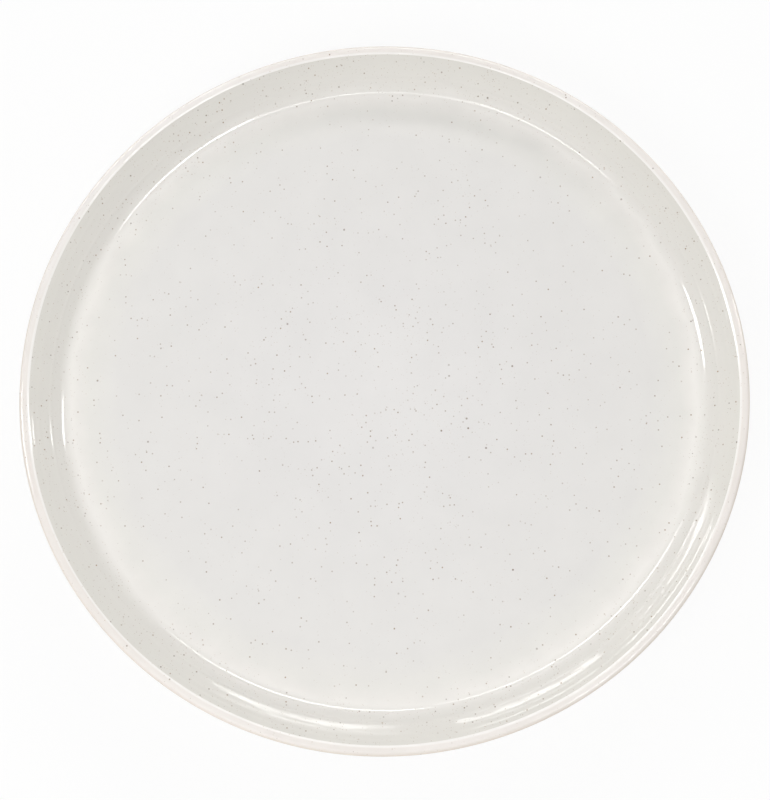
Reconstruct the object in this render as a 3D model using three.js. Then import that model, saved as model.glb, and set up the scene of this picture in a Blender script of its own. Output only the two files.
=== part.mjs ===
// Round stoneware plate with a low sloped wall: one fired clay body under three coats of glaze.
// Millimetres, +Z up. The origin is the centre of the foot ring, on the surface that the plate stands on.

import * as THREE from "three";

// Driving dimensions: the whole plate
const plateDiameter = 270; // over the glaze, at the widest part of the lip
const wellDepth = 10.6; // from the top of the lip down to the glazed floor
const floorThickness = 5; // clay alone, kept round the dish and the heel
const glazeThickness = 0.4;

// Driving dimensions: floor and wall
const wallRun = 17; // from the edge of the plate in to the crease
const dishRun = 13; // width of the border that rises from the level floor to the crease
const dishRadius = 54;
const creaseRadius = 8;

// Driving dimensions: lip, in clay
const lipInnerRadius = 0.9;
const lipLand = 1.2; // level stretch between the two rounded edges
const lipOuterRadius = 1.1;

// Driving dimensions: foot ring
const footInset = 8; // from the edge of the level floor in to the outer edge of the foot
const footWidth = 5.6; // where it stands, over its rounded edges
const footHeight = 4;
const footDraft = THREE.MathUtils.degToRad(15); // lean of both sides, widest at the root
const footEdgeRadius = 0.8;
const footFilletRadius = 1.6;
const glazeLine = 1.2; // height above the table where the glaze stops

// Facets of the revolve, and steps of each arc in the section
const facets = 72;
const steps = {
  dish: 3,
  crease: 4,
  lipInner: 3,
  lipOuter: 2, // above the widest point, and as many below it
  heel: 3,
  underDish: 2,
  footEdge: 2,
  footFillet: 2,
};

// Materials
const bareClay = new THREE.MeshStandardMaterial({ color: 0xcbb89f, roughness: 0.9, metalness: 0 });
const speckledGlaze = new THREE.MeshStandardMaterial({ color: 0xe4e1db, roughness: 0.18, metalness: 0 });
const thinGlaze = new THREE.MeshStandardMaterial({ color: 0xe7dfd4, roughness: 0.22, metalness: 0 });

// Directions in the section, where x is the radius and y the height
const up = Math.PI / 2;
const level = 0;
const down = -Math.PI / 2;
const direction = (angle) => new THREE.Vector2(Math.cos(angle), Math.sin(angle));

// A station is a point on the clay's section and the way the clay faces there, so that the glazed
// surface lies one glaze thickness along that way. An arc turns the facing evenly, and its radius is
// negative where the curve is hollow.
function arc(centre, radius, fromAngle, toAngle, count) {
  return Array.from({ length: count + 1 }, (unused, index) => {
    const facing = direction(THREE.MathUtils.lerp(fromAngle, toAngle, index / count));
    return { point: centre.clone().addScaledVector(facing, radius), facing };
  });
}

// Slope of the straight wall that touches two arcs. Offset is the difference of their radii, or the sum
// where one of the arcs is hollow.
function tangentSlope(fromCentre, toCentre, offset) {
  const span = toCentre.clone().sub(fromCentre);
  return Math.atan2(span.y, span.x) + Math.asin(offset / span.length());
}

// Heights and radii that follow from the driving dimensions
const floorTop = footHeight + floorThickness;
const lipTop = floorTop + wellDepth;
const lipEdge = plateDiameter / 2 - glazeThickness;
const flatRadius = plateDiameter / 2 - wallRun - dishRun;

// Arc centres: the heel is concentric with the crease, and the underside of the dish with the dish
const dishTurn = Math.asin(dishRun / dishRadius);
const dishCentre = new THREE.Vector2(flatRadius, floorTop + dishRadius);
const creaseCentre = dishCentre.clone().addScaledVector(direction(up + dishTurn), creaseRadius - dishRadius);
const lipOuterCentre = new THREE.Vector2(lipEdge - lipOuterRadius, lipTop - lipOuterRadius);
const lipInnerCentre = new THREE.Vector2(lipOuterCentre.x - lipLand, lipTop - lipInnerRadius);
const heelRadius = creaseRadius + floorThickness;
const underDishRadius = dishRadius + floorThickness;
const wallSlope = tangentSlope(creaseCentre, lipInnerCentre, creaseRadius + lipInnerRadius);
const outerSlope = tangentSlope(creaseCentre, lipOuterCentre, heelRadius - lipOuterRadius);

// One side of the foot ring, from the face it stands on up to the underside of the floor
function footSide(edgeCentre, facingAngle) {
  const facing = direction(facingAngle);
  const upward = new THREE.Vector2(-facing.y * Math.sign(facing.x), Math.abs(facing.x));
  const raisedTo = (start, height) => start.clone().addScaledVector(upward, (height - start.y) / upward.y);
  const sideStart = edgeCentre.clone().addScaledVector(facing, footEdgeRadius);
  const filletStart = sideStart.clone().addScaledVector(facing, footFilletRadius);
  const filletCentre = raisedTo(filletStart, footHeight - footFilletRadius);
  return {
    edge: arc(edgeCentre, footEdgeRadius, down, facingAngle, steps.footEdge),
    glazeEnd: { point: raisedTo(sideStart, glazeLine), facing },
    fillet: arc(filletCentre, -footFilletRadius, facingAngle, down, steps.footFillet),
  };
}

const footRadius = flatRadius - footInset;
const outerEdgeCentre = new THREE.Vector2(footRadius - footEdgeRadius, footEdgeRadius);
const innerEdgeCentre = new THREE.Vector2(footRadius - footWidth + footEdgeRadius, footEdgeRadius);
const footOutside = footSide(outerEdgeCentre, -footDraft);
const footInside = footSide(innerEdgeCentre, footDraft - Math.PI);

// The section, from the middle of the floor over the lip and the foot to the middle of the underside
const inside = [
  { point: new THREE.Vector2(0, floorTop), facing: direction(up) },
  ...arc(dishCentre, -dishRadius, up, up + dishTurn, steps.dish),
  ...arc(creaseCentre, -creaseRadius, up + dishTurn, up + wallSlope, steps.crease).slice(1),
];
const lip = [
  ...arc(lipInnerCentre, lipInnerRadius, up + wallSlope, up, steps.lipInner),
  ...arc(lipOuterCentre, lipOuterRadius, up, level, steps.lipOuter),
  ...arc(lipOuterCentre, lipOuterRadius, level, down + outerSlope, steps.lipOuter).slice(1),
];
const underside = [
  ...arc(creaseCentre, heelRadius, down + outerSlope, down + dishTurn, steps.heel),
  ...arc(dishCentre, underDishRadius, down + dishTurn, down, steps.underDish).slice(1),
  ...footOutside.fillet.toReversed(),
  footOutside.glazeEnd,
];
const bareFoot = [...footOutside.edge.toReversed(), ...footInside.edge];
const base = [
  footInside.glazeEnd,
  ...footInside.fillet,
  { point: new THREE.Vector2(0, footHeight), facing: direction(down) },
];

// Outline of the clay, and of a coat that lies on it and shares its points
const clayPoint = (station) => station.point;
const glazePoint = (station) => station.point.clone().addScaledVector(station.facing, glazeThickness);
const clayOutline = [inside, lip, underside, bareFoot, base].flat().map(clayPoint);
const coatOutline = (stations) => [...stations.map(glazePoint), ...stations.toReversed().map(clayPoint)];

// A piece revolved about the plate's axis. A ring's outline is closed on itself first.
function revolve(name, outline, material) {
  const onAxis = outline.some((point) => point.x === 0);
  const closed = onAxis ? outline : [...outline, outline[0]];
  const profile = THREE.ShapeUtils.isClockWise(outline) ? closed.toReversed() : closed;
  const geometry = new THREE.LatheGeometry(profile, facets).rotateX(Math.PI / 2);
  const mesh = new THREE.Mesh(geometry, material);
  mesh.name = name;
  return mesh;
}

const plate = new THREE.Group();
plate.add(revolve("clay_body", clayOutline, bareClay));
plate.add(revolve("inside_glaze", coatOutline([...inside, lip[0]]), speckledGlaze));
plate.add(revolve("outside_glaze", coatOutline([...lip, ...underside]), thinGlaze));
plate.add(revolve("base_glaze", coatOutline(base.toReversed()), speckledGlaze));

export default plate;
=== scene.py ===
# Speckled stoneware plate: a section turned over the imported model, glazed and set on a pale studio floor
import math

import bpy
from mathutils import Matrix, Vector


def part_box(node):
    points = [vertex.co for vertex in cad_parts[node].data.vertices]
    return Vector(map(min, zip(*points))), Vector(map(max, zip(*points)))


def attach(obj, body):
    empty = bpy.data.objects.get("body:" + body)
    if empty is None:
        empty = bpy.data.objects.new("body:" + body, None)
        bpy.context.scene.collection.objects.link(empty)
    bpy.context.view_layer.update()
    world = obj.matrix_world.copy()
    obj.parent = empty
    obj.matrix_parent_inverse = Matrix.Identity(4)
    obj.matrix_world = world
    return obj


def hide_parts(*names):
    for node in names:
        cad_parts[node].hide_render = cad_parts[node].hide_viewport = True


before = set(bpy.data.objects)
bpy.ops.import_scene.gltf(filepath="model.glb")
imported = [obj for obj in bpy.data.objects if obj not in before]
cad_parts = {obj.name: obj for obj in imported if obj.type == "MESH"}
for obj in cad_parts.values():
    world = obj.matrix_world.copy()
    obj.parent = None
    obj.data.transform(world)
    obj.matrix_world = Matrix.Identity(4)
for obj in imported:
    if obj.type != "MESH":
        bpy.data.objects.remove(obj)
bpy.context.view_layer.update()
mm = 0.001
up, down = math.pi / 2, -math.pi / 2


def linear(hexColour):
    channels = [int(hexColour[i:i + 2], 16) / 255 for i in (0, 2, 4)]
    return [c / 12.92 if c <= 0.04045 else ((c + 0.055) / 1.055) ** 2.4 for c in channels] + [1.0]


# Links give a socket a value or another node's output, and stops fill a colour ramp
def addNode(tree, kind, links=None, stops=(), **settings):
    node = tree.nodes.new(kind)
    for name, value in settings.items():
        setattr(node, name, value)
    for socket, source in (links or {}).items():
        if isinstance(source, bpy.types.NodeSocket):
            tree.links.new(source, node.inputs[socket])
        else:
            node.inputs[socket].default_value = source
    for number, (position, hexColour) in enumerate(stops):
        elements = node.color_ramp.elements
        stop = elements[number] if number < 2 else elements.new(position)
        stop.position = position
        stop.color = linear(hexColour)
    return node


# The section in millimetres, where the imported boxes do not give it
plateSection = {
    "wallRun": 17.0,        # from the edge of the plate in to the crease
    "dishRun": 13.0,        # border that rises from the level floor to the crease
    "dishRadius": 54.0,
    "creaseRadius": 8.0,
    "lipInnerRadius": 2.0,
    "lipLand": 0.9,         # level stretch between the lip's two rounded edges
    "lipOuterRadius": 1.1,
    "footInset": 8.0,       # from the edge of the level floor in to the foot
    "footWidth": 5.6,
    "footDraft": 15.0,      # degrees that the foot's sides lean
    "footEdgeRadius": 0.8,
    "footFilletRadius": 1.6,
    "wallSwell": 0.18,      # the wall's soft crown between crease and lip
    "ribMarks": [           # turning marks on the wall, placed by their share of the way up
        {"place": 0.3, "width": 0.55, "height": 0.095},
        {"place": 0.7, "width": 0.8, "height": 0.046},
        {"place": 0.87, "width": 0.45, "height": 0.028},
    ],
}

# Steps that each stretch of the section is cut into
sectionSteps = {
    "floor": 22,
    "dish": 12,
    "crease": 10,
    "wall": 48,
    "lipInner": 8,
    "lipLand": 4,
    "lipOuter": 22,
    "outerWall": 8,
    "heel": 10,
    "underDish": 6,
    "footFillet": 8,
    "glazeBead": 5,
    "footEdge": 6,
    "base": 16,
}


def towards(angle):
    return Vector((math.cos(angle), math.sin(angle)))


# A station is a point on the clay, the way it faces there and its share of the full glaze.
# An arc's radius is negative where the curve is hollow.
def arc(centre, radius, fromAngle, toAngle, steps):
    turns = [towards(fromAngle + (toAngle - fromAngle) * step / steps) for step in range(steps + 1)]
    return [(centre + facing * radius, facing, 1.0) for facing in turns]


# Stations between two others that face the same way, ends left out
def straight(start, end, steps):
    return [(start[0].lerp(end[0], step / steps), start[1], 1.0) for step in range(1, steps)]


# Slope of the straight wall that touches two arcs
def tangentSlope(fromCentre, toCentre, offset):
    span = toCentre - fromCentre
    return math.atan2(span.y, span.x) + math.asin(offset / span.length)


# One side of the foot: rounded edge, the rounded end of the glaze, and the fillet under the floor
def footSide(size, steps, edgeCentre, facingAngle, footHeight, glazeLine, glaze):
    edgeRadius, filletRadius = size["footEdgeRadius"], size["footFilletRadius"]
    facing = towards(facingAngle)
    upward = Vector((-facing.y * math.copysign(1, facing.x), abs(facing.x)))
    side = edgeCentre + facing * edgeRadius
    glazeEnd = side + upward * ((glazeLine - side.y) / upward.y)
    bead = []
    for step in range(steps["glazeBead"] + 1):
        share = step / steps["glazeBead"]
        bead.append((glazeEnd + upward * glaze * share, facing, math.sqrt(1 - (1 - share) ** 2)))
    rise = (footHeight - filletRadius - side.y - facing.y * filletRadius) / upward.y
    filletCentre = side + facing * filletRadius + upward * rise
    edge = arc(edgeCentre, edgeRadius, down, facingAngle, steps["footEdge"])
    fillet = arc(filletCentre, -filletRadius, facingAngle, down, steps["footFillet"])
    return edge, bead + fillet


def clayPoints(stations):
    return [point for point, facing, coat in stations]


def glazePoints(stations, glaze):
    return [point + facing * glaze * coat for point, facing, coat in stations]


def cutSection(size, steps):
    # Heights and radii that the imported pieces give
    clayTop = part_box("clay_body")[1].z / mm
    coatLow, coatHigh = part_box("outside_glaze")
    plateRadius = coatHigh.x / mm
    glaze = coatHigh.z / mm - clayTop
    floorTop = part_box("inside_glaze")[0].z / mm
    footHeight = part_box("base_glaze")[1].z / mm
    draft = math.radians(size["footDraft"])
    glazeLine = coatLow.z / mm + glaze * math.sin(draft)

    # Centres of the arcs: the heel shares the crease's, and the underside of the border shares the border's
    flatRadius = plateRadius - size["wallRun"] - size["dishRun"]
    thickness = floorTop - footHeight
    dishTurn = math.asin(size["dishRun"] / size["dishRadius"])
    dishCentre = Vector((flatRadius, floorTop + size["dishRadius"]))
    creaseCentre = dishCentre + towards(up + dishTurn) * (size["creaseRadius"] - size["dishRadius"])
    outerCentre = Vector((plateRadius - glaze - size["lipOuterRadius"], clayTop - size["lipOuterRadius"]))
    innerCentre = Vector((outerCentre.x - size["lipLand"], clayTop - size["lipInnerRadius"]))
    heelRadius = size["creaseRadius"] + thickness
    wallSlope = tangentSlope(creaseCentre, innerCentre, size["creaseRadius"] + size["lipInnerRadius"])
    outerSlope = tangentSlope(creaseCentre, outerCentre, heelRadius - size["lipOuterRadius"])

    # Floor, border and crease
    middle = (Vector((0, floorTop)), towards(up), 1.0)
    dish = arc(dishCentre, -size["dishRadius"], up, up + dishTurn, steps["dish"])
    crease = arc(creaseCentre, -size["creaseRadius"], up + dishTurn, up + wallSlope, steps["crease"])
    inside = [middle] + straight(middle, dish[0], steps["floor"]) + dish + crease[1:]

    # Wall with its crown and ribs, then the lip
    lip = arc(innerCentre, size["lipInnerRadius"], up + wallSlope, up, steps["lipInner"])
    lipOuter = arc(outerCentre, size["lipOuterRadius"], up, down + outerSlope, steps["lipOuter"])
    wall = straight(crease[-1], lip[0], steps["wall"])
    wallLength = (lip[0][0] - crease[-1][0]).length
    for step, (point, facing, coat) in enumerate(wall, 1):
        climb = step / steps["wall"]
        swell = size["wallSwell"] * 4 * climb * (1 - climb)
        for rib in size["ribMarks"]:
            away = (climb - rib["place"]) * wallLength / rib["width"]
            swell += rib["height"] * math.exp(-away ** 2)
        inside.append((point + facing * swell, facing, coat))
    lip += straight(lip[-1], lipOuter[0], steps["lipLand"]) + lipOuter

    # Outer wall, heel, foot and base
    footRadius = flatRadius - size["footInset"]
    outerEdge = Vector((footRadius - size["footEdgeRadius"], size["footEdgeRadius"]))
    innerEdge = Vector((footRadius - size["footWidth"] + size["footEdgeRadius"], size["footEdgeRadius"]))
    outerFoot, outerRise = footSide(size, steps, outerEdge, -draft, footHeight, glazeLine, glaze)
    innerFoot, innerRise = footSide(size, steps, innerEdge, draft - math.pi, footHeight, glazeLine, glaze)
    heel = arc(creaseCentre, heelRadius, down + outerSlope, down + dishTurn, steps["heel"])
    underDish = arc(dishCentre, size["dishRadius"] + thickness, down + dishTurn, down, steps["underDish"])
    underside = straight(lip[-1], heel[0], steps["outerWall"]) + heel + underDish[1:] + outerRise[::-1]
    baseMiddle = (Vector((0, footHeight)), towards(down), 1.0)
    base = innerRise + straight(innerRise[-1], baseMiddle, steps["base"]) + [baseMiddle]

    insideCoat, outsideCoat = inside + lip[:1], lip + underside
    ring = glazePoints(outsideCoat, glaze) + clayPoints(outsideCoat[::-1])
    return {
        "clay_body": clayPoints(inside + lip + underside + outerFoot[::-1] + innerFoot + base),
        "inside_glaze": glazePoints(insideCoat, glaze) + clayPoints(insideCoat[::-1]),
        "outside_glaze": ring + ring[:1],
        "base_glaze": clayPoints(base[::-1]) + glazePoints(base, glaze),
    }


# Turns a section about the plate's axis, and lets the rim wander a little as on a hand-finished plate
wheel = {
    "Steps Round": 288,
    "Seam": 0.001 * mm,         # points closer than this become one
    "Rim Wander": 0.9 * mm,     # the rim comes in by this, times the noise above its rest level
    "Rim Dip": 0.5 * mm,        # and the lip sinks by this, times a second noise
    "Wander Rest": 0.25,        # level of the noise that leaves the rim in place
    "Wander From": 98 * mm,     # radius where the wander begins, outside the foot
    "Wander Full": 130 * mm,
    "Wander Scale": 1.1,        # about three soft waves round the rim
    "Crease Oval": 1.6 * mm,    # how much further out the crease lies at each end of X than at Y
    "Crease From": 98 * mm,     # radius where the oval begins, is full and has died out
    "Crease At": 117 * mm,
    "Crease Past": 131 * mm,
    "Seed": 4.7,
}
sharpEdge = 35.0                # degrees, past which an edge is shaded sharp


def buildWheel():
    tree = bpy.data.node_groups.new("potterWheel", "GeometryNodeTree")
    sockets = {"Section": "Geometry", "Section Points": "Int", "Steps Round": "Int", "Finish": "Material"}
    sockets.update({name: "Float" for name in wheel if name != "Steps Round"})
    for name, kind in sockets.items():
        tree.interface.new_socket(name, in_out="INPUT", socket_type="NodeSocket" + kind)
    tree.interface.new_socket("Turned", in_out="OUTPUT", socket_type="NodeSocketGeometry")
    given = addNode(tree, "NodeGroupInput").outputs

    # A grid with one row for each point of the section, rolled up about the axis
    columns = addNode(tree, "ShaderNodeMath", {0: given["Steps Round"], 1: 1.0}, operation="ADD").outputs[0]
    grid = addNode(tree, "GeometryNodeMeshGrid", {"Vertices X": given["Section Points"],
                   "Vertices Y": columns}).outputs[0]
    index = addNode(tree, "GeometryNodeInputIndex").outputs[0]
    rows = addNode(tree, "ShaderNodeMath", {0: index, 1: columns}, operation="DIVIDE").outputs[0]
    row = addNode(tree, "ShaderNodeMath", {0: rows}, operation="FLOOR").outputs[0]
    column = addNode(tree, "ShaderNodeMath", {0: index, 1: columns}, operation="MODULO").outputs[0]
    turn = addNode(tree, "ShaderNodeMath", {0: column, 1: 2 * math.pi}, operation="MULTIPLY").outputs[0]
    angle = addNode(tree, "ShaderNodeMath", {0: turn, 1: given["Steps Round"]}, operation="DIVIDE").outputs[0]
    position = addNode(tree, "GeometryNodeInputPosition").outputs[0]
    station = addNode(tree, "GeometryNodeSampleIndex", {"Geometry": given["Section"], "Value": position,
                      "Index": row}, data_type="FLOAT_VECTOR", domain="POINT").outputs[0]
    rolled = addNode(tree, "ShaderNodeVectorRotate", {"Vector": station, "Angle": angle},
                     rotation_type="Z_AXIS").outputs[0]
    placed = addNode(tree, "GeometryNodeSetPosition", {"Geometry": grid, "Position": rolled}).outputs[0]
    closed = addNode(tree, "GeometryNodeMergeByDistance", {"Geometry": placed,
                     "Distance": given["Seam"]}).outputs[0]

    # Wander of the rim, the same for the clay and for the glaze on it
    flat = addNode(tree, "ShaderNodeVectorMath", {0: position, 1: (1, 1, 0)}, operation="MULTIPLY").outputs[0]
    outward = addNode(tree, "ShaderNodeVectorMath", {0: flat}, operation="NORMALIZE").outputs[0]
    radius = addNode(tree, "ShaderNodeVectorMath", {0: flat}, operation="LENGTH").outputs["Value"]
    share = addNode(tree, "ShaderNodeMapRange", {"Value": radius, "From Min": given["Wander From"],
                    "From Max": given["Wander Full"]}, interpolation_type="SMOOTHSTEP").outputs[0]
    noise = addNode(tree, "ShaderNodeTexNoise", {"Vector": outward, "W": given["Seed"], "Detail": 1.0,
                    "Scale": given["Wander Scale"]}, noise_dimensions="4D").outputs["Color"]
    waves = addNode(tree, "ShaderNodeSeparateXYZ", {0: noise}).outputs
    moves = []
    for amount, wave in ((given["Rim Wander"], waves[0]), (given["Rim Dip"], waves[1])):
        reach = addNode(tree, "ShaderNodeMath", {0: amount, 1: share}, operation="MULTIPLY").outputs[0]
        raised = addNode(tree, "ShaderNodeMath", {0: wave, 1: given["Wander Rest"]}, operation="SUBTRACT",
                         use_clamp=True).outputs[0]
        moves.append(addNode(tree, "ShaderNodeMath", {0: reach, 1: raised}, operation="MULTIPLY").outputs[0])
    comesIn, sinks = moves

    # The crease runs slightly oval: its zone rises to the crease and dies out under the lip
    zone = addNode(tree, "ShaderNodeMapRange", {"Value": radius, "From Min": given["Crease From"],
                   "From Max": given["Crease At"]}, interpolation_type="SMOOTHSTEP").outputs[0]
    past = addNode(tree, "ShaderNodeMapRange", {"Value": radius, "From Min": given["Crease Past"],
                   "From Max": given["Crease At"]}).outputs[0]
    sideways = addNode(tree, "ShaderNodeSeparateXYZ", {0: outward}).outputs["X"]
    oval = addNode(tree, "ShaderNodeMath", {0: sideways, 1: sideways}, operation="MULTIPLY").outputs[0]
    for factor in (zone, past, given["Crease Oval"]):
        oval = addNode(tree, "ShaderNodeMath", {0: oval, 1: factor}, operation="MULTIPLY").outputs[0]
    comesIn = addNode(tree, "ShaderNodeMath", {0: comesIn, 1: oval}, operation="SUBTRACT").outputs[0]

    pull = addNode(tree, "ShaderNodeVectorMath", {0: outward, "Scale": comesIn}, operation="SCALE").outputs[0]
    dip = addNode(tree, "ShaderNodeCombineXYZ", {"Z": sinks}).outputs[0]
    both = addNode(tree, "ShaderNodeVectorMath", {0: pull, 1: dip}, operation="ADD").outputs[0]
    offset = addNode(tree, "ShaderNodeVectorMath", {0: both, "Scale": -1.0}, operation="SCALE").outputs[0]
    settled = addNode(tree, "GeometryNodeSetPosition", {"Geometry": closed, "Offset": offset}).outputs[0]

    smooth = addNode(tree, "GeometryNodeSetShadeSmooth", {"Geometry": settled}).outputs[0]
    real = addNode(tree, "GeometryNodeRealizeInstances", {"Geometry": smooth}).outputs[0]
    finished = addNode(tree, "GeometryNodeSetMaterial", {"Geometry": real,
                       "Material": given["Finish"]}).outputs[0]
    addNode(tree, "NodeGroupOutput", {0: finished})
    return tree


def turnPiece(tree, name, outline, finish):
    section = bpy.data.meshes.new(name)
    edges = [(number, number + 1) for number in range(len(outline) - 1)]
    section.from_pydata([(point.x * mm, 0, point.y * mm) for point in outline], edges, [])
    piece = bpy.data.objects.new(name, section)
    bpy.context.scene.collection.objects.link(piece)
    modifier = piece.modifiers.new("potterWheel", "NODES")
    modifier.node_group = tree
    values = dict(wheel, Finish=finish, **{"Section Points": len(outline)})
    for item in tree.interface.items_tree:
        if item.in_out == "INPUT" and item.name in values:
            modifier[item.identifier] = values[item.name]
    depsgraph = bpy.context.evaluated_depsgraph_get()
    turned = bpy.data.meshes.new_from_object(piece.evaluated_get(depsgraph), depsgraph=depsgraph)
    piece.modifiers.clear()
    piece.data = turned
    turned.name = name
    turned.set_sharp_from_angle(angle=math.radians(sharpEdge))
    return piece


# A new material, its tree, and the place on the piece in millimetres
def startFinish(name):
    material = bpy.data.materials.new(name)
    material.use_nodes = True
    tree = material.node_tree
    tree.nodes.clear()
    place = addNode(tree, "ShaderNodeTexCoord").outputs["Object"]
    spot = addNode(tree, "ShaderNodeVectorMath", {0: place, "Scale": 1 / mm}, operation="SCALE").outputs[0]
    return material, tree, spot


# Colour, roughness and a relief in millimetres, joined to the output
def endFinish(tree, colour, roughness, relief, refraction):
    bump = addNode(tree, "ShaderNodeBump", {"Height": relief, "Distance": mm, "Strength": 1.0}).outputs[0]
    shader = addNode(tree, "ShaderNodeBsdfPrincipled", {"Base Color": colour, "Roughness": roughness,
                     "IOR": refraction, "Normal": bump}).outputs[0]
    addNode(tree, "ShaderNodeOutputMaterial", {"Surface": shader})


# The fired surface that both glazes share: a glassy skin, faintly cloudy, with its sizes in millimetres
glazeSkin = {
    "cloudSize": 14.0,
    "cloudDark": 0.985,
    "cloudLight": 1.012,
    "peelSize": 4.0,        # orange peel
    "peelHeight": 0.008,
    "pitDepth": 0.008,      # at the specks
    "smoothest": 0.035,     # roughness where the cloud is thin
    "roughest": 0.065,
    "refraction": 1.5,
}

# Iron specks in the glaze, in millimetres: spacing of the grains in the clay and radius of a speck,
# share of the grains that come through, and how many times as many on the wall
ironSpecks = [
    {"spacing": 1.1, "radius": 0.2, "share": 0.6, "onWall": 4.8, "strength": 0.5,
     "grey": "a29587", "brown": "b89c7e"},
    {"spacing": 2.1, "radius": 0.41, "share": 0.7, "onWall": 1.6, "strength": 0.92,
     "grey": "897b6d", "brown": "a5896a"},
    {"spacing": 6.0, "radius": 0.54, "share": 0.34, "onWall": 1.4, "strength": 1.0,
     "grey": "6b5d50", "brown": "80634a"},
]
speckField = {
    "crowdedTo": 20.0,      # radius of the crowded middle
    "thinFrom": 75.0,       # radius where they have thinned out
    "thinShare": 0.5,
    "driftSize": 22.0,      # loose drifts
    "driftLow": 0.45,
    "driftHigh": 1.5,
    "wallFrom": 114.0,      # radius where the wall begins to count
    "wallFull": 121.0,
    "wallBold": 1.7,        # times as strong on the wall
    "lipFrom": 16.0,        # height where the lip begins to count
    "lipFull": 18.0,
    "faintest": 0.35,       # strength of the faintest speck
    "core": 0.35,           # share of a speck's radius that is solid
}

# Stoneware glaze, dipped and fired glossy: off-white with grey-brown specks, thinner and greyer on the wall
insideGlaze = {
    "name": "speckledStonewareGlaze",
    "axis": "radius",
    "span": 135.0,          # mm, where the last tone stands
    # Slightly paler at the middle of the floor. The pale ring that peaks at 117.5 mm, on the border just
    # short of the crease, is painted light: the glow that the rising border catches, over a little paler
    # glaze of its own.
    "tones": [(0, "e8e6e4"), (40, "e5e3e1"), (100, "e5e3e0"), (111, "e8e6e1"), (115, "edeae5"),
              (117.5, "f1eee9"), (122, "e5e2dc"), (130, "e2dfd8"), (135, "e2dfd8")],
    "wander": 1.6,          # mm that the tone's edges stray
    "lipSpecks": 1.0,       # share of the specks near the lip
    "runs": [               # mm; they lie round the wall, bend its reflections and fray their edges
        {"long": 9.0, "across": 1.6, "height": 0.012},
        {"long": 3.0, "across": 0.7, "height": 0.005},
    ],
    "runsFrom": 122.0,      # radius where the runs begin
    "runsFull": 125.0,
}

# The same glaze run thin over the lip: cream on the crest, and the clay warms it at the widest edge
outsideGlaze = {
    "name": "thinStonewareGlaze",
    "axis": "height",
    "span": 20.0,
    "tones": [(0, "cdb9a0"), (1.3, "cdb9a0"), (2.2, "e0ddd6"), (15.0, "e3e1dc"), (17.4, "d8cfc4"),
              (18.6, "cfc3b5"), (19.2, "ddd2c6"), (19.55, "e8e0d9"), (19.8, "eee8e2"), (20.0, "f1ede9")],
    "wander": 0.04,
    "lipSpecks": 0.25,
    "runs": [],
    # Painted highlight, by radius: a near-white band along the lip's edge over the wall, standing in for the
    # bright line that the lamps leave on that rounded edge
    "roll": {"tone": "f7f4f0", "from": 132.0, "full": 131.5},
    # Round the widest edge, where the glaze is thinnest, it dries to satin: height, and distance from there
    "dryEdge": {"height": 18.4, "reach": 1.25, "core": 0.85, "satin": 0.3},
}
noiseSpan = {"From Min": 0.3, "From Max": 0.7}      # holds most of a noise texture's values
noiseReach = {"From Min": 0.25, "From Max": 0.75}   # holds nearly all of them


# Tone of the glaze by radius or height, with edges that stray, under a faint cloudiness.
# Inputs 6 and 7 of a colour mix are its two colours.
def toneGlaze(tree, look, at):
    stray = addNode(tree, "ShaderNodeMapRange", {"Value": at["cloud"], **noiseReach,
                    "To Min": -look["wander"], "To Max": look["wander"]}).outputs[0]
    strayed = addNode(tree, "ShaderNodeMath", {0: at[look["axis"]], 1: stray}, operation="ADD").outputs[0]
    depth = addNode(tree, "ShaderNodeMath", {0: strayed, 1: look["span"]}, operation="DIVIDE").outputs[0]
    stops = [(distance / look["span"], hexColour) for distance, hexColour in look["tones"]]
    tone = addNode(tree, "ShaderNodeValToRGB", {"Fac": depth}, stops).outputs["Color"]
    clouded = addNode(tree, "ShaderNodeMapRange", {"Value": at["cloud"], **noiseSpan,
                      "To Min": glazeSkin["cloudDark"], "To Max": glazeSkin["cloudLight"]}).outputs[0]
    colour = addNode(tree, "ShaderNodeVectorMath", {0: tone, "Scale": clouded}, operation="SCALE").outputs[0]
    # Where the look has one, a painted highlight lightens the lip's edge over the wall to near white
    if "roll" in look:
        roll = look["roll"]
        paintedHighlightShare = addNode(tree, "ShaderNodeMapRange", {"Value": at["radius"], "From Min": roll["from"],
                        "From Max": roll["full"]}).outputs[0]
        colour = addNode(tree, "ShaderNodeMix", {0: paintedHighlightShare, 6: colour, 7: linear(roll["tone"])},
                         data_type="RGBA").outputs[2]
    return colour


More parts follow.
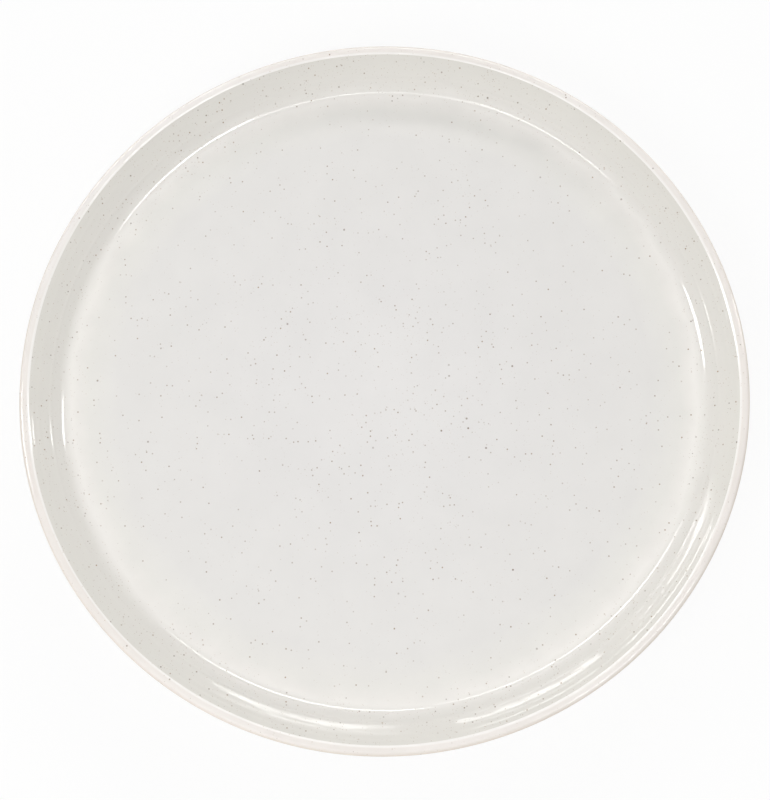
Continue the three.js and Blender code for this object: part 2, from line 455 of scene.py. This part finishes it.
# Specks lie thicker towards the middle, in loose drifts, and each leaves a pit
def addSpecks(tree, look, at, colour):
    field = speckField
    middle = addNode(tree, "ShaderNodeMapRange", {"Value": at["radius"], "From Min": field["crowdedTo"],
                     "From Max": field["thinFrom"], "To Min": 1.0, "To Max": field["thinShare"]}).outputs[0]
    drift = addNode(tree, "ShaderNodeTexNoise", {"Vector": at["spot"], "Scale": 1 / field["driftSize"],
                    "Detail": 2.0}).outputs["Fac"]
    drift = addNode(tree, "ShaderNodeMapRange", {"Value": drift, **noiseSpan, "To Min": field["driftLow"],
                    "To Max": field["driftHigh"]}).outputs[0]
    nearLip = addNode(tree, "ShaderNodeMapRange", {"Value": at["height"], "From Min": field["lipFrom"],
                      "From Max": field["lipFull"], "To Min": 1.0, "To Max": look["lipSpecks"]}).outputs[0]
    crowd = addNode(tree, "ShaderNodeMath", {0: middle, 1: drift}, operation="MULTIPLY").outputs[0]
    crowd = addNode(tree, "ShaderNodeMath", {0: crowd, 1: nearLip}, operation="MULTIPLY").outputs[0]
    wall = addNode(tree, "ShaderNodeMapRange", {"Value": at["radius"], "From Min": field["wallFrom"],
                   "From Max": field["wallFull"]}).outputs[0]
    pits = 0.0
    for layer in ironSpecks:
        grain = addNode(tree, "ShaderNodeTexVoronoi", {"Vector": at["spot"], "Scale": 1 / layer["spacing"]})
        chance = addNode(tree, "ShaderNodeSeparateXYZ", {0: grain.outputs["Color"]}).outputs
        share = addNode(tree, "ShaderNodeMapRange", {"Value": wall, "To Min": layer["share"],
                        "To Max": layer["share"] * layer["onWall"]}).outputs[0]
        limit = addNode(tree, "ShaderNodeMath", {0: crowd, 1: share}, operation="MULTIPLY").outputs[0]
        present = addNode(tree, "ShaderNodeMath", {0: chance[0], 1: limit}, operation="LESS_THAN").outputs[0]
        reach = layer["radius"] / layer["spacing"]
        fleck = addNode(tree, "ShaderNodeMapRange", {"Value": grain.outputs["Distance"], "From Min": reach,
                        "From Max": reach * field["core"]}, interpolation_type="SMOOTHSTEP").outputs[0]
        fade = addNode(tree, "ShaderNodeMapRange", {"Value": chance[1],
                       "To Min": field["faintest"]}).outputs[0]
        bold = addNode(tree, "ShaderNodeMapRange", {"Value": wall, "To Min": layer["strength"],
                       "To Max": min(1.0, field["wallBold"] * layer["strength"])}).outputs[0]
        cover = fleck
        for factor in (present, fade, bold):
            cover = addNode(tree, "ShaderNodeMath", {0: cover, 1: factor}, operation="MULTIPLY").outputs[0]
        iron = addNode(tree, "ShaderNodeMix", {0: chance[2], 6: linear(layer["grey"]),
                       7: linear(layer["brown"])}, data_type="RGBA").outputs[2]
        colour = addNode(tree, "ShaderNodeMix", {0: cover, 6: colour, 7: iron}, data_type="RGBA").outputs[2]
        pits = addNode(tree, "ShaderNodeMath", {0: pits, 1: cover}, operation="MAXIMUM").outputs[0]
    return colour, pits


# Relief in millimetres: orange peel, pits at the specks, and the runs round the wall
def raiseGlaze(tree, look, at, pits):
    peel = addNode(tree, "ShaderNodeTexNoise", {"Vector": at["spot"], "Scale": 1 / glazeSkin["peelSize"],
                   "Detail": 1.0}).outputs["Fac"]
    relief = addNode(tree, "ShaderNodeMath", {0: peel, 1: glazeSkin["peelHeight"]},
                     operation="MULTIPLY").outputs[0]
    sunk = addNode(tree, "ShaderNodeMath", {0: pits, 1: glazeSkin["pitDepth"]},
                   operation="MULTIPLY").outputs[0]
    relief = addNode(tree, "ShaderNodeMath", {0: relief, 1: sunk}, operation="SUBTRACT").outputs[0]
    for run in look["runs"]:
        zone = addNode(tree, "ShaderNodeMapRange", {"Value": at["radius"], "From Min": look["runsFrom"],
                       "From Max": look["runsFull"]}).outputs[0]
        around = addNode(tree, "ShaderNodeVectorMath", {0: at["flat"]}, operation="NORMALIZE").outputs[0]
        around = addNode(tree, "ShaderNodeVectorMath", {0: around, "Scale": look["runsFull"] / run["long"]},
                         operation="SCALE").outputs[0]
        across = addNode(tree, "ShaderNodeMath", {0: at["radius"], 1: run["across"]},
                         operation="DIVIDE").outputs[0]
        across = addNode(tree, "ShaderNodeCombineXYZ", {"Z": across}).outputs[0]
        place = addNode(tree, "ShaderNodeVectorMath", {0: around, 1: across}, operation="ADD").outputs[0]
        raised = addNode(tree, "ShaderNodeTexNoise", {"Vector": place, "Scale": 1.0,
                         "Detail": 0.0}).outputs["Fac"]
        for factor in (zone, run["height"]):
            raised = addNode(tree, "ShaderNodeMath", {0: raised, 1: factor}, operation="MULTIPLY").outputs[0]
        relief = addNode(tree, "ShaderNodeMath", {0: relief, 1: raised}, operation="ADD").outputs[0]
    return relief


def makeGlaze(look):
    material, tree, spot = startFinish(look["name"])
    flat = addNode(tree, "ShaderNodeVectorMath", {0: spot, 1: (1, 1, 0)}, operation="MULTIPLY").outputs[0]
    radius = addNode(tree, "ShaderNodeVectorMath", {0: flat}, operation="LENGTH").outputs["Value"]
    height = addNode(tree, "ShaderNodeSeparateXYZ", {0: spot}).outputs["Z"]
    cloud = addNode(tree, "ShaderNodeTexNoise", {"Vector": spot, "Scale": 1 / glazeSkin["cloudSize"],
                    "Detail": 4.0}).outputs["Fac"]
    at = {"spot": spot, "flat": flat, "radius": radius, "height": height, "cloud": cloud}
    colour, pits = addSpecks(tree, look, at, toneGlaze(tree, look, at))
    relief = raiseGlaze(tree, look, at, pits)
    gloss = addNode(tree, "ShaderNodeMapRange", {"Value": cloud, **noiseSpan,
                    "To Min": glazeSkin["smoothest"], "To Max": glazeSkin["roughest"]}).outputs[0]
    if "dryEdge" in look:
        edge = look["dryEdge"]
        above = addNode(tree, "ShaderNodeMath", {0: height, 1: edge["height"]},
                        operation="SUBTRACT").outputs[0]
        away = addNode(tree, "ShaderNodeMath", {0: above}, operation="ABSOLUTE").outputs[0]
        dry = addNode(tree, "ShaderNodeMapRange", {"Value": away, "From Min": edge["reach"],
                      "From Max": edge["core"], "To Max": edge["satin"]}).outputs[0]
        gloss = addNode(tree, "ShaderNodeMath", {0: gloss, 1: dry}, operation="ADD").outputs[0]
    endFinish(tree, colour, gloss, relief, glazeSkin["refraction"])
    return material


# Bare stoneware, wiped clean of glaze: dry buff clay with fine grog and darker iron grains
bareFoot = {
    "name": "bareStonewareClay",
    "tones": [(0.35, "c9b69c"), (0.65, "d6c7b0")],
    "patchSize": 6.0,       # mm, paler and darker patches
    "grog": "9c8468",
    "grogSpacing": 1.1,     # mm
    "grogShare": 0.35,      # share of the grains that show
    "grogReach": 0.32,      # edge of a grain and its solid core, as shares of the spacing
    "grogCore": 0.12,
    "grogCover": 0.8,
    "toothSize": 0.8,       # mm
    "tooth": 0.05,          # mm of relief
    "smoothest": 0.78,
    "roughest": 0.95,
    "refraction": 1.45,
}


def makeClay(look):
    material, tree, spot = startFinish(look["name"])
    patches = addNode(tree, "ShaderNodeTexNoise", {"Vector": spot, "Scale": 1 / look["patchSize"],
                      "Detail": 6.0}).outputs["Fac"]
    tone = addNode(tree, "ShaderNodeValToRGB", {"Fac": patches}, look["tones"]).outputs["Color"]
    grog = addNode(tree, "ShaderNodeTexVoronoi", {"Vector": spot, "Scale": 1 / look["grogSpacing"]})
    chance = addNode(tree, "ShaderNodeSeparateXYZ", {0: grog.outputs["Color"]}).outputs
    present = addNode(tree, "ShaderNodeMath", {0: chance[0], 1: look["grogShare"]},
                      operation="LESS_THAN").outputs[0]
    fleck = addNode(tree, "ShaderNodeMapRange", {"Value": grog.outputs["Distance"],
                    "From Min": look["grogReach"], "From Max": look["grogCore"],
                    "To Max": look["grogCover"]}).outputs[0]
    cover = addNode(tree, "ShaderNodeMath", {0: fleck, 1: present}, operation="MULTIPLY").outputs[0]
    colour = addNode(tree, "ShaderNodeMix", {0: cover, 6: tone, 7: linear(look["grog"])},
                     data_type="RGBA").outputs[2]
    tooth = addNode(tree, "ShaderNodeTexNoise", {"Vector": spot, "Scale": 1 / look["toothSize"],
                    "Detail": 3.0}).outputs["Fac"]
    relief = addNode(tree, "ShaderNodeMath", {0: tooth, 1: look["tooth"]}, operation="MULTIPLY").outputs[0]
    rough = addNode(tree, "ShaderNodeMapRange", {"Value": patches, "To Min": look["smoothest"],
                    "To Max": look["roughest"]}).outputs[0]
    endFinish(tree, colour, rough, relief, look["refraction"])
    return material


inside, outside, clay = makeGlaze(insideGlaze), makeGlaze(outsideGlaze), makeClay(bareFoot)
print("finishes mixed:", inside.name, outside.name, clay.name)

platePieces = [
    {"name": "turnedClayBody", "node": "clay_body", "slot": "bare_clay", "finish": clay},
    {"name": "insideGlazeCoat", "node": "inside_glaze", "slot": "speckled_glaze", "finish": inside},
    {"name": "outsideGlazeCoat", "node": "outside_glaze", "slot": "thin_glaze", "finish": outside},
    {"name": "baseGlazeCoat", "node": "base_glaze", "slot": "speckled_glaze", "finish": inside},
]
sections = cutSection(plateSection, sectionSteps)
print("section cut with", len(sections["clay_body"]), "points round the clay")

wheelTree = buildWheel()
for part in platePieces:
    piece = turnPiece(wheelTree, part["name"], sections[part["node"]], part["finish"])
    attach(piece, "root")
    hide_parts(part["node"])
    print("turned", part["name"], len(piece.data.polygons), "faces")

# Studio: pale floor, white surround, and lamps given by azimuth and elevation in degrees, width and height
# in metres, and brightness. Gloss lamps show only in reflections, and shade lamps only light.
studio = {
    "floorSize": 12.0,
    "floorTone": "f4f4f3",
    "floorGlow": 0.88,      # share of plain white in what is seen of the floor, which lightens the shadow
    "fill": 0.55,           # light from the surround
    "lampDistance": 1.6,
    "glossLamps": {
        "farStrip": {"from": (117, 45), "size": (1.0, 0.1), "bright": 12.0, "roll": -30},
        "behindStrip": {"from": (78, 45.5), "size": (0.72, 0.11), "bright": 13.0, "roll": -21},
        "leftStrip": {"from": (165, 51), "size": (0.3, 0.46), "bright": 14.0, "roll": 14},
        "overheadStrip": {"from": (-88, 75), "size": (0.95, 0.05), "bright": 13.0, "roll": 0},
        "cornerStrip": {"from": (-34, 70.5), "size": (0.66, 0.15), "bright": 14.0, "roll": 20},
        "nearStrip": {"from": (-142, 66), "size": (0.58, 0.11), "bright": 12.0, "roll": -4},
        "rightLamp": {"from": (24, 46.8), "size": (0.14, 0.46), "bright": 12.0, "roll": 0},
        "farWindow": {"from": (78.5, 23), "size": (0.62, 0.038), "bright": 7.0, "roll": 0},
        "cornerWindow": {"from": (105, 24), "size": (0.48, 0.05), "bright": 6.0, "roll": 0},
        "leftWindow": {"from": (128, 26), "size": (0.72, 0.055), "bright": 7.0, "roll": 0},
    },
    "shadeLamps": {
        "farFill": {"from": (78, 22), "size": (1.5, 0.1), "bright": 19.0, "roll": 0},
        "topFill": {"from": (-84, 72), "size": (1.0, 0.8), "bright": 1.2, "roll": 0},
        "nearFill": {"from": (-128, 39), "size": (1.3, 0.7), "bright": 3.5, "roll": 0},
        "rightFill": {"from": (48, 6), "size": (1.0, 0.3), "bright": 2.0, "roll": 0},
    },
}


# 1 for what the eye sees directly, in gloss or through glass, and 0 for light on a surface
def seenDirectly(tree):
    rays = addNode(tree, "ShaderNodeLightPath").outputs
    seen = addNode(tree, "ShaderNodeMath", {0: rays["Is Camera Ray"], 1: rays["Is Glossy Ray"]}).outputs[0]
    return addNode(tree, "ShaderNodeMath", {0: seen, 1: rays["Is Transmission Ray"]},
                   use_clamp=True).outputs[0]


# White to the eye, a lower level as light
def makeSurround(look):
    world = bpy.data.worlds.new("whiteSurround")
    world.use_nodes = True
    bpy.context.scene.world = world
    tree = world.node_tree
    tree.nodes.clear()
    level = addNode(tree, "ShaderNodeMapRange", {"Value": seenDirectly(tree),
                    "To Min": look["fill"]}).outputs[0]
    white = addNode(tree, "ShaderNodeBackground", {"Color": (1, 1, 1, 1), "Strength": level}).outputs[0]
    addNode(tree, "ShaderNodeOutputWorld", {"Surface": white})


# Matt white paper: most of what the eye sees is plain white, and the rest keeps the shadow
def layFloor(look):
    half = look["floorSize"] / 2
    corners = [(-half, -half, 0), (half, -half, 0), (half, half, 0), (-half, half, 0)]
    floorMesh = bpy.data.meshes.new("studioFloor")
    floorMesh.from_pydata(corners, [], [(0, 1, 2, 3)])
    floor = bpy.data.objects.new("studioFloor", floorMesh)
    bpy.context.scene.collection.objects.link(floor)
    paper = bpy.data.materials.new("studioPaper")
    paper.use_nodes = True
    floorMesh.materials.append(paper)
    tree = paper.node_tree
    tree.nodes.clear()
    share = addNode(tree, "ShaderNodeMath", {0: seenDirectly(tree), 1: look["floorGlow"]},
                    operation="MULTIPLY").outputs[0]
    sheet = addNode(tree, "ShaderNodeBsdfDiffuse", {"Color": linear(look["floorTone"])}).outputs[0]
    glow = addNode(tree, "ShaderNodeEmission", {"Strength": 1.0}).outputs[0]
    mixed = addNode(tree, "ShaderNodeMixShader", {0: share, 1: sheet, 2: glow}).outputs[0]
    addNode(tree, "ShaderNodeOutputMaterial", {"Surface": mixed})


def hangLamps(lamps, distance, inGloss):
    for name, lamp in lamps.items():
        wide, tall = lamp["size"]
        light = bpy.data.lights.new(name, "AREA")
        light.shape = "ELLIPSE" if inGloss else "RECTANGLE"
        light.size, light.size_y = wide, tall
        light.energy = lamp["bright"] * math.pi * wide * tall
        turn, rise = [math.radians(degrees) for degrees in lamp["from"]]
        way = Vector((math.cos(turn) * math.cos(rise), math.sin(turn) * math.cos(rise), math.sin(rise)))
        roll = Matrix.Rotation(math.radians(lamp["roll"]), 4, "Z")
        stand = bpy.data.objects.new(name, light)
        stand.location = way * distance
        stand.rotation_euler = (way.to_track_quat("Z", "Y").to_matrix().to_4x4() @ roll).to_euler()
        stand.visible_camera = False
        stand.visible_diffuse = not inGloss
        stand.visible_glossy = inGloss
        bpy.context.scene.collection.objects.link(stand)
    print("hung", len(lamps), "gloss lamps" if inGloss else "shade lamps")


# Camera almost over the plate and a little to its near side, in metres
viewpoint = {
    "aim": (0.00027, -0.00688, 0.015),
    "distance": 0.5,
    "tilt": 13.22,          # degrees from straight down
    "roll": -3.78,
    "lens": 60.66,          # mm
    "sensor": 36.0,         # mm
    "nearest": 0.01,
}


def setCamera(look):
    data = bpy.data.cameras.new("photoCamera")
    data.lens = look["lens"]
    data.sensor_width = look["sensor"]
    data.clip_start = look["nearest"]
    camera = bpy.data.objects.new("photoCamera", data)
    tilt, roll = math.radians(look["tilt"]), math.radians(look["roll"])
    turned = Matrix.Rotation(tilt, 4, "X") @ Matrix.Rotation(roll, 4, "Z")
    back = turned.to_3x3() @ Vector((0, 0, 1))
    camera.matrix_world = Matrix.Translation(Vector(look["aim"]) + back * look["distance"]) @ turned
    bpy.context.scene.collection.objects.link(camera)
    bpy.context.scene.camera = camera


makeSurround(studio)
layFloor(studio)
hangLamps(studio["glossLamps"], studio["lampDistance"], inGloss=True)
hangLamps(studio["shadeLamps"], studio["lampDistance"], inGloss=False)
setCamera(viewpoint)
bpy.context.scene.view_settings.view_transform = "Standard"
print("camera set with a lens of", viewpoint["lens"], "mm")
